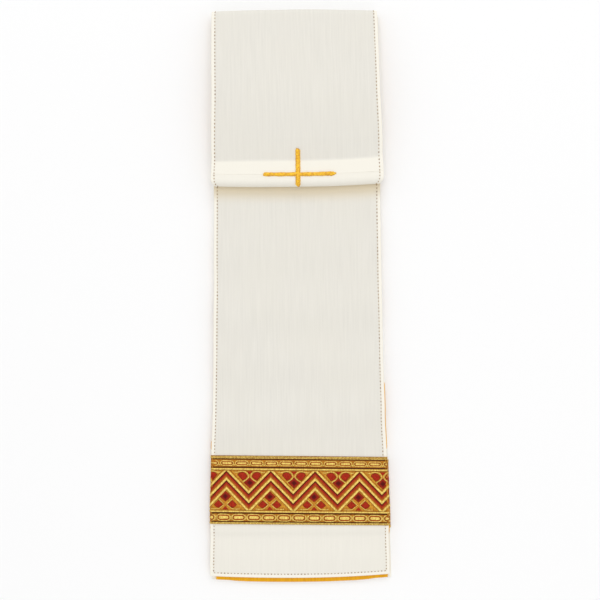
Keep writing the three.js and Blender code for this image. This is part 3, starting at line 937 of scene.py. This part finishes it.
def curve_through(points, steps):
    """A smooth curve through a few points."""
    p = np.array([points[0], *points, points[-1]], float)
    t = (np.arange(steps) / steps)[:, None]
    runs = [
        0.5 * (2 * b + (c - a) * t + (2 * a - 5 * b + 4 * c - d) * t**2 + (3 * b - a - 3 * c + d) * t**3)
        for a, b, c, d in zip(p, p[1:], p[2:], p[3:])
    ]
    return np.concatenate(runs + [p[-1:]])


def fine_cord(points, half_wide, height, closed=False):
    """A gilt cord couched along a curve, round, with a painted highlight on top."""
    line = np.array(points, float)
    ahead = np.roll(line, -1, axis=0) if closed else np.concatenate((line[1:], 2 * line[-1:] - line[-2:-1]))
    behind = np.roll(line, 1, axis=0) if closed else np.concatenate((2 * line[:1] - line[1:2], line[:-1]))
    tangent = ahead - behind
    tangent /= np.linalg.norm(tangent, axis=1, keepdims=True)
    normal = np.stack((-tangent[:, 1], tangent[:, 0]), axis=1)
    shoulder = GROUND_TOP + 0.5 * (height - GROUND_TOP)
    half_section = ((1, SUNK, "gold"), (0.8, shoulder, "gold"), (0.3, height, "bright"))
    section = [(-a, h, thread) for a, h, thread in half_section] + list(half_section[::-1])
    rows = [[(*(p + n * half_wide * a), h) for a, h, _ in section] for p, n in zip(line, normal)]
    if closed:
        rows = rows + rows[:1]
    part = section_sweep(rows, [[GILT[thread] for _, _, thread in section]] * len(rows))
    if closed:
        last = len(line) * len(section)
        part["faces"] = [tuple(i % last for i in face) for face in part["faces"][:-2]]
        part["points"], part["threads"] = part["points"][:last], part["threads"][:last]
    return part


def silk_pad(outline, height, rim="deep_red", middle="red", centre=None):
    """A padded patch of satin stitch, highest in its middle, with painted shade round its rim."""
    edge = np.array(outline, float)
    heart = edge.mean(axis=0)
    rings = (
        (1, SUNK, rim),
        (1, GROUND_TOP + 0.08, rim),
        (0.84, height, middle),
        (0.3, height + 0.04, centre or middle),
    )
    points = [(*(heart + (p - heart) * share), h) for share, h, _ in rings for p in edge]
    threads = [GILT[thread] for _, _, thread in rings for _ in edge]
    return closed_part(points, tube_faces(len(rings), len(edge)), threads)


def moved_part(part, u, v, turned=False, mirrored=False):
    """A copy of a part with its own origin set down on the tape, turned half round or mirrored."""
    points = part["points"].copy()
    if turned:
        points[:, :2] *= -1
    if mirrored:
        points[:, 0] *= -1
    faces = [face[::-1] for face in part["faces"]] if mirrored else part["faces"]
    return closed_part(points + (u, v, 0), faces, part["threads"])


def tape_mesh(name, parts):
    """Joins parts into one mesh that remembers its thread colours."""
    offset, faces = 0, []
    for part in parts:
        faces += [tuple(i + offset for i in face) for face in part["faces"]]
        offset += len(part["points"])
    mesh = new_mesh(name, np.concatenate([part["points"] for part in parts]), faces)
    threads = np.concatenate([part["threads"] for part in parts])
    colours = np.concatenate((threads, np.ones((len(threads), 1))), axis=1).astype(np.float32)
    mesh.attributes.new("thread", "FLOAT_COLOR", "POINT").data.foreach_set("color", colours.ravel())
    return mesh


STRIP_STEP = 1.6
# Cords and zigzag bands run bright at their crests and dark at their feet: painted highlight and painted shade
# over the gold and red of the threads
CORD_PROFILE = (
    (0, 0.5, "dark"), (0.14, 0.72, "ochre"), (0.3, 0.95, "bright"), (0.66, 0.98, "bright"),
    (0.88, 0.75, "gold"), (1, 0.5, "dark"),
)
LINE_PROFILE = ((0, 0.48, "brown"), (0.5, 0.56, "dark"), (1, 0.48, "brown"))
SELVEDGE_PROFILE = ((0, 0.46, "brown"), (0.25, 0.6, "ochre"), (0.75, 0.6, "ochre"), (1, 0.46, "brown"))
ZIGZAG_PROFILE = (
    (0, 0.47, "dark"), (0.07, 0.5, "deep_red"), (0.16, 0.56, "red"), (0.28, 0.62, "red"),
    (0.38, 0.68, "rust"), (0.53, 0.72, "ochre"), (0.62, 0.84, "gold"), (0.69, 0.92, "bright"),
    (0.88, 0.98, "bright"), (0.93, 0.9, "gold"), (0.97, 0.7, "brown"), (1, 0.47, "dark"),
)
FIRST_BAND_PROFILE = ((0.47, 0.5, "ochre"), *ZIGZAG_PROFILE[6:])

CHAINS = (
    dict(middle=40.2, first=-47.4, pitch=9.73, ring=(3.9, 1.2), bar=(3.3, 0.66), crossed=False),
    dict(middle=4.5, first=-50.0, pitch=9.97, ring=(4.0, 1.8), bar=(3.4, 1.05), crossed=True),
)

# rows of slanting floats in the selvedges
PLAITS = dict(v=(0.45, 1.1, 43.6, 44.4), slant=(0.5, -0.5, 0.5, -0.5), seed=(5, 6, 7, 8))
PLAIT_PITCH = 0.93

# a petal, a diamond and a small wedge, from the middle of the open side of a triangle between zigzags
MOTIF_SHIFT = dict(at_peak=-0.8, at_valley=0.7, into_field=0.1)
PETAL_CORD = (
    (-10.2, -0.9), (-8.4, -1.0), (-6.9, -0.55), (-5.0, -0.25), (-3.1, -0.5), (-1.5, -1.6), (-0.65, -3.5),
    (-1.6, -5.3), (-4.6, -7.3),
)
PETAL = (
    (-8.0, -2.7), (-7.0, -1.4), (-5.2, -0.75), (-3.5, -1.1), (-2.2, -2.1), (-1.4, -3.7), (-2.7, -5.3),
    (-4.7, -6.5), (-6.4, -4.6),
)
# the petals of the lower row are more angular
LOWER_PETAL_CORD = ((-9.4, -0.8), (-7.2, -0.6), (-4.3, -0.8), (-0.75, -3.7), (-4.6, -7.4))
LOWER_PETAL = (
    (-7.7, -3.4), (-6.1, -5.1), (-4.6, -6.5), (-3.0, -5.0), (-1.5, -3.7), (-2.9, -2.3), (-4.4, -1.2),
    (-6.2, -1.9),
)
LOWER_DIAMOND_RISE = 1.2      # the diamonds of the lower row lie nearer the zigzag
DIAMOND = (
    (0, -4.2), (1.9, -5.8), (4.0, -7.7), (2.1, -9.6), (0, -11.5), (-2.1, -9.6), (-4.0, -7.7), (-1.9, -5.8),
)
WEDGE = ((-2.0, -0.2), (2.0, -0.2), (1.0, -1.3), (0, -2.5), (-1.0, -1.3))


def oval(half_long, half_high, corner_steps=5):
    """A long oval with straight sides."""
    points = []
    for side in (1, -1):
        for k in range(corner_steps + 1):
            angle = math.pi * (k / corner_steps - 0.5)
            along = half_long - half_high + half_high * math.cos(angle)
            points.append((side * along, side * half_high * math.sin(angle)))
    return points


def chain_link(chain):
    """An oval link: an outer gilt cord, a dark red ring, a bright bar, and a joint to the next link."""
    long, high = chain["ring"]
    outer = fine_cord(oval(long + 0.3, high + 0.28), 0.42, 0.84, closed=True)
    ring = silk_pad(oval(long, high), 0.56, "deep_red", "rust")
    bar = silk_pad(oval(*chain["bar"]), 0.86, "gold", "bright")
    if chain["crossed"]:
        joints = [fine_cord(((-0.9, side * 1.7), (0.9, -side * 1.7)), 0.3, 0.92) for side in (1, -1)]
    else:
        joints = [silk_pad([(-0.8, -1.5), (0.8, -1.5), (0, -0.2)], 0.9, "gold", "bright")]
    return [outer, ring, bar] + [moved_part(joint, chain["pitch"] / 2, 0) for joint in joints]


def repeat_tree():
    """Geometry Nodes: copies of a piece in a row, each turned a little differently."""
    tree = bpy.data.node_groups.new("row_of_copies", "GeometryNodeTree")
    inside = group_inputs(tree, (
        ("Geometry", "Geometry", None),
        ("Count", "Int", 10),
        ("Start", "Vector", None),
        ("Step", "Vector", None),
        ("Stray", "Float", 0.0),
        ("Seed", "Int", 1),
        ("Thread", "Material", None),
    ))
    places = {"Count": inside["Count"], "Start_Location": inside["Start"], "Offset": inside["Step"]}
    row = linked(tree, "GeometryNodeMeshLine", **places)
    least_stray = maths(tree, "MULTIPLY", inside["Stray"], -1)
    stray = random_between(tree, least_stray, inside["Stray"], inside["Seed"])
    turn = linked(tree, "ShaderNodeCombineXYZ", Z=stray).outputs[0]
    return copies_laid(tree, row.outputs[0], inside["Geometry"], inside["Thread"], Rotation=turn)


ROW_OF_COPIES = repeat_tree()


def row_of(name, parts, start, pitch, count, stray, seed):
    """A row of copies of some parts along the tape, as one part."""
    values = {"Count": count, "Start": tuple(c * MM for c in start), "Step": (pitch * MM, 0.0, 0.0)}
    values |= {"Stray": stray, "Seed": seed, "Thread": gilt_thread}
    mesh = realised(new_object(name, tape_mesh(name, parts)), ROW_OF_COPIES, values)
    colours = np.empty(len(mesh.vertices) * 4, np.float32)
    mesh.attributes["thread"].data.foreach_get("color", colours)
    faces = [tuple(f.vertices) for f in mesh.polygons]
    part = closed_part(mesh_points(mesh), faces, colours.reshape(-1, 4)[:, :3])
    bpy.data.meshes.remove(mesh)
    return part


def plait_stitch(slant):
    """One slanting float of the plaited selvedge."""
    outline = [(0.62 * math.cos(a), 0.3 * math.sin(a)) for a in np.linspace(0, 2 * math.pi, 7)[:-1]]
    cos, sin = math.cos(slant), math.sin(slant)
    return silk_pad([(x * cos - y * sin, x * sin + y * cos) for x, y in outline], 0.82, "ochre", "bright")


def pattern_parts():
    """Everything that stands on the ground cloth of the tape."""
    reach = TAPE_END - 0.5
    parts = [
        zigzag_band(ZIGZAG["top"] + ZIGZAG["repeat"], FIRST_BAND_PROFILE),
        zigzag_band(ZIGZAG["top"], ZIGZAG_PROFILE),
        zigzag_band(ZIGZAG["top"] - ZIGZAG["repeat"], ZIGZAG_PROFILE),
        strip(7.7, 9.2, CORD_PROFILE),
        strip(35.6, 37.1, CORD_PROFILE),
        strip(6.9, 7.7, LINE_PROFILE),
        strip(37.1, 37.9, LINE_PROFILE),
        strip(1.5, 2.1, LINE_PROFILE),
        strip(42.5, 43.1, LINE_PROFILE),
        strip(0.1, 1.5, SELVEDGE_PROFILE),
        strip(43.1, 44.9, SELVEDGE_PROFILE),
    ]
    for chain in CHAINS:
        pitch = chain["pitch"]
        start = chain["first"] - math.floor((chain["first"] + reach) / pitch) * pitch
        count = math.floor((reach - start) / pitch) + 1
        place = (start, chain["middle"], 0)
        parts.append(row_of("chain", chain_link(chain), place, pitch, count, stray=0.03, seed=4))
    count = math.floor(2 * reach / PLAIT_PITCH)
    for v, slant, seed in zip(*PLAITS.values()):
        place = (-reach, v, 0)
        parts.append(row_of("plait", [plait_stitch(slant)], place, PLAIT_PITCH, count, stray=0.35, seed=seed))
    return [p for p in parts + motifs() if np.abs(p["points"][:, 0]).min() < reach]


def motifs():
    """The petals, diamonds and wedges, hanging from the upper cord or turned round on the lower one."""
    upper = [fine_cord(curve_through(PETAL_CORD, 3), 0.4, 0.9), silk_pad(PETAL, 0.66, "dark")]
    lower = [fine_cord(curve_through(LOWER_PETAL_CORD, 1), 0.4, 0.9), silk_pad(LOWER_PETAL, 0.66, "dark")]
    diamond = silk_pad(DIAMOND, 0.62, "brown", "red", "deep_red")
    wedge = silk_pad(WEDGE, 0.6)
    parts = []
    for k in range(-1, 9):
        at_peak = k % 2 == 0
        shift = MOTIF_SHIFT["at_peak"] if at_peak else MOTIF_SHIFT["at_valley"]
        u = ZIGZAG["first_peak"] + k * ZIGZAG["pitch"] / 2 + shift
        v = FIELD[0] + MOTIF_SHIFT["into_field"] if at_peak else FIELD[1] - MOTIF_SHIFT["into_field"]
        parts.append(moved_part(diamond, u, v + LOWER_DIAMOND_RISE * at_peak, turned=at_peak))
        parts.append(moved_part(wedge, u, v, turned=at_peak))
        for part in lower if at_peak else upper:
            parts += [moved_part(part, u, v, turned=at_peak, mirrored=mirrored) for mirrored in (False, True)]
    return parts


GROUND_LINES = (
    0, 0.3, 1.5, 2.1, 4.5, 6.9, 7.7, 9.2, 12, 16, 20, 24, 28, 32, 34, 35.6, 37.1, 38.5, 40.2, 42, 43.1, 44.7,
    45,
)


def ground_parts():
    """The ground cloth: a thin closed shell of the tape, gold between the cords and brown under the chains."""
    u, v = np.meshgrid(np.linspace(-TAPE_END, TAPE_END, 141), np.array(GROUND_LINES), indexing="ij")
    near, far = [np.stack((u, v, np.full_like(u, h)), axis=-1).reshape(-1, 3) for h in (GROUND_TOP, 0)]
    faces = [tuple(face) for face in shell_faces(*u.shape).tolist()]
    in_field = ((v > FIELD[0]) & (v < FIELD[1])).ravel()[:, None]
    threads = np.where(in_field, GILT["gold"], 0.5 * (np.array(GILT["ochre"]) + GILT["gold"]))
    return [closed_part(np.concatenate((near, far)), faces, np.concatenate((threads, threads)))]


def on_leaf(half, flat, scale):
    """Takes points of the tape to their place on a leaf, wrapped round its side edges."""
    u, v, h = flat[:, 0], flat[:, 1], flat[:, 2] * scale
    along = half["length"] - GALLOON_ABOVE_HEM - v + TAPE_ASKEW * u * (half is FRONT)
    width = half_width(half, along)
    past = np.abs(u) - (width - TURNED_EDGE)
    bend = WRAP_ROUND + GALLOON_THICK / 4
    angle = np.clip(past / bend, 0, math.pi)
    tucked = np.minimum(np.maximum(past - bend * math.pi, 0), TUCK)
    radius = WRAP_ROUND + h * (1 - 0.5 * np.sin(angle))
    across = np.where(past > 0, width - TURNED_EDGE + radius * np.sin(angle) - tucked, np.abs(u))
    out = np.where(past > 0, -TURNED_EDGE + radius * np.cos(angle), OFF_LEAF + h)
    across = np.sign(u) * across
    return lay(half, across, along, out + unevenness(half, across, along) * (half is FRONT))


def galloon_material():
    """Gilt thread and silk: each float reflects a little differently, and the threads lie across the cords."""
    material, tree, shader = new_material("gilt_and_silk", 0.42, Metallic=0.1, Specular_IOR_Level=0.15)
    weave, place = woven(tree, "tape", Warp_Count=170, Weft_Count=60, Streak_Width=120, Streak_Length=40)
    thread = held_by_mesh(tree, "thread")["Color"]
    darker = linked(tree, "ShaderNodeVectorMath", {1: (0.5, 0.33, 0.25)})
    darker.operation = "MULTIPLY"
    tree.links.new(thread, darker.inputs[0])
    flecks = ranged(tree, cloudy(tree, place, 95, 3, 0.7), 0.6, 0.36, 0.7)
    hatching = ranged(tree, weave["Streaks"], 0.55, 0.38, 0.55)
    colour = blend(tree, hatching, blend(tree, flecks, thread, darker.outputs[0]), darker.outputs[0])
    tree.links.new(colour, shader.inputs["Base Color"])
    bumped(tree, shader, weave["Height"], 0.6, 0.15)
    return material


gilt_thread = galloon_material()


def galloon(node, half, scale):
    """The tape on one leaf: its ground cloth and the pattern standing on it."""
    for suffix, parts in (("_ground", ground_parts()), ("_pattern", pattern_parts())):
        mesh = tape_mesh(node + suffix, parts)
        flat = mesh_points(mesh)
        corners = np.empty(len(mesh.loops), np.int64)
        mesh.loops.foreach_get("vertex_index", corners)
        tape_map = (flat[corners, :2] / MAP_UNIT).astype(np.float32)
        mesh.uv_layers.new(name="tape").data.foreach_set("uv", tape_map.ravel())
        move_points(mesh, on_leaf(half, flat, scale))
        tidy_form(mesh)
        mesh.materials.append(gilt_thread)
        piece = new_object(node + suffix, mesh)
        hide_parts(node)
        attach(piece, "root")


def tidy_form(mesh):
    """Smooth shading with every closed part's faces turned outwards."""
    form = bmesh.new()
    form.from_mesh(mesh)
    bmesh.ops.recalc_face_normals(form, faces=form.faces)
    form.to_mesh(mesh)
    form.free()
    mesh.shade_smooth()


galloon("front_galloon", FRONT, 1.0)
galloon("back_galloon", BACK, GALLOON_THICK / PATTERN_TOP)

# ---------------------------------------------------------------- cross
# A cross embroidered over the seam of the loop in gold thread: slanting satin stitches laid close together over
# a cord padding and sewn through the cloth at both sides. Its right arm ends in a point.

CROSS = dict(level_width=2.6, upright_width=3.1, height=1.0, x=0.5)
LEVEL_ENDS = (-22.0, 25.3)
UPRIGHT_ENDS = (17.2, -7.9)
UPRIGHT_RAISED = 0.12         # the upright arm crosses over the level one
CROSS_THREAD = dict(width=0.5, pitch=0.43, slant=math.radians(56), sink=0.25)
CROSS_SPREAD = {"Stray": 0.06, "Size Spread": 0.05}
PADDING = dict(width=0.42, height=0.78, sink=0.05)
ARM_STEPS = 60
POINT = 2.8                   # length of the point at the end of the right arm


def on_loop(flat):
    """Takes points measured from the middle of the seam, and out of the cloth, to their place on the loop."""
    above = lay(BACK, flat[:, 0], np.maximum(flat[:, 1], 0), flat[:, 2])
    below = lay(FRONT, flat[:, 0], np.maximum(-flat[:, 1], 0), flat[:, 2])
    return np.where(flat[:, 1:2] > 0, above, below)


def arm_fullness(from_start, from_end, pointed):
    """Width of an arm as a share of its usual one: rounded at its ends, or thick before a point."""
    start, end = [np.sqrt(1 - (1 - np.clip((d + 0.3) / 1.5, 0, 1)) ** 2) for d in (from_start, from_end)]
    if not pointed:
        return start * end
    thick = 1 + 0.2 * np.exp(-(((from_end - POINT - 1.2) / 2.4) ** 2)) + 0.06 * np.sin(from_start * 0.7)
    return start * thick * np.sqrt(np.clip((from_end + 0.2) / POINT, 0, 1))


def arm_place(arm, place, aside, height):
    """A point of an arm: so far along it, to its side and out of the cloth."""
    return (CROSS["x"] + aside, place, height) if arm == "upright" else (place, aside, height)


def cross_padding(arm, ends):
    """The cord padding of one arm, which shows as dark specks between the stitches."""
    rows = []
    angles = np.linspace(0, math.pi, 7)
    for place in np.linspace(*ends, ARM_STEPS):
        full = float(arm_fullness(abs(place - ends[0]), abs(ends[1] - place), arm == "level"))
        wide = PADDING["width"] * CROSS[arm + "_width"] * full
        high = PADDING["height"] * CROSS["height"] * full
        round_top = [(wide * math.cos(a), high * math.sin(a) - PADDING["sink"]) for a in angles]
        rows.append([arm_place(arm, place, aside, height) for aside, height in round_top])
    return section_sweep(rows, [[(0, 0, 0)] * len(angles)] * len(rows))


def long_stitch(width):
    """One satin stitch over the padding, dipping into the cloth at both ends."""
    reach = 0.5 * width / math.sin(CROSS_THREAD["slant"])
    sink = CROSS_THREAD["sink"]
    shares = np.sin(np.linspace(-math.pi / 2, math.pi / 2, 11))
    line = [(reach * t, (CROSS["height"] + sink) * math.sqrt(max(1 - t * t, 0)) - sink) for t in shares]
    radius = [CROSS_THREAD["width"] / 2 * (1 - 0.35 * t**6) for t in shares]
    return thread_tube("long_stitch", line, radius, flatten=0.6)


def cross_arm(name, arm, ends, raised, seed):
    """The stitches of one arm, laid along its middle and narrowed towards its ends."""
    middle = [arm_place(arm, place, 0, 0) for place in np.linspace(*ends, ARM_STEPS)]
    values = {"Pitch": CROSS_THREAD["pitch"] * MM, "Slant": CROSS_THREAD["slant"], "Seed": seed}
    values |= CROSS_SPREAD | {"Thread": gold_thread}
    mesh = stitched(name, middle, long_stitch(CROSS[arm + "_width"]), values)
    flat = mesh_points(mesh)
    axis, other, centre = (1, 0, CROSS["x"]) if arm == "upright" else (0, 1, 0)
    flat[:, axis] = np.clip(flat[:, axis], min(ends) - 0.2, max(ends) + 0.2)
    full = arm_fullness(np.abs(flat[:, axis] - ends[0]), np.abs(ends[1] - flat[:, axis]), arm == "level")
    flat[:, other] = centre + (flat[:, other] - centre) * full
    flat[:, 2] = np.where(flat[:, 2] > 0, flat[:, 2] * full, flat[:, 2])
    move_points(mesh, on_loop(flat + (0, 0, raised)))
    on_cross(name, mesh)


def on_cross(name, mesh):
    piece = new_object(name, mesh)
    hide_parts("cross")
    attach(piece, "root")


gold_thread = thread_material(
    "gold_thread", (1.0, 0.62, 0.02), (0.76, 0.36, 0.008), roughness=0.36, sheen=0.1, twist=5000
)
padding_thread = thread_material(
    "padding_thread", (0.32, 0.14, 0.012), (0.16, 0.06, 0.006), roughness=0.7, sheen=0.0, twist=4000
)
cross_arm("cross_level_stitches", "level", LEVEL_ENDS, 0, seed=21)
cross_arm("cross_upright_stitches", "upright", UPRIGHT_ENDS, UPRIGHT_RAISED, seed=22)
padding_arms = [cross_padding("level", LEVEL_ENDS), cross_padding("upright", UPRIGHT_ENDS)]
padding = tape_mesh("cross_padding", padding_arms)
move_points(padding, on_loop(mesh_points(padding)))
tidy_form(padding)
padding.materials.append(padding_thread)
on_cross("cross_padding", padding)
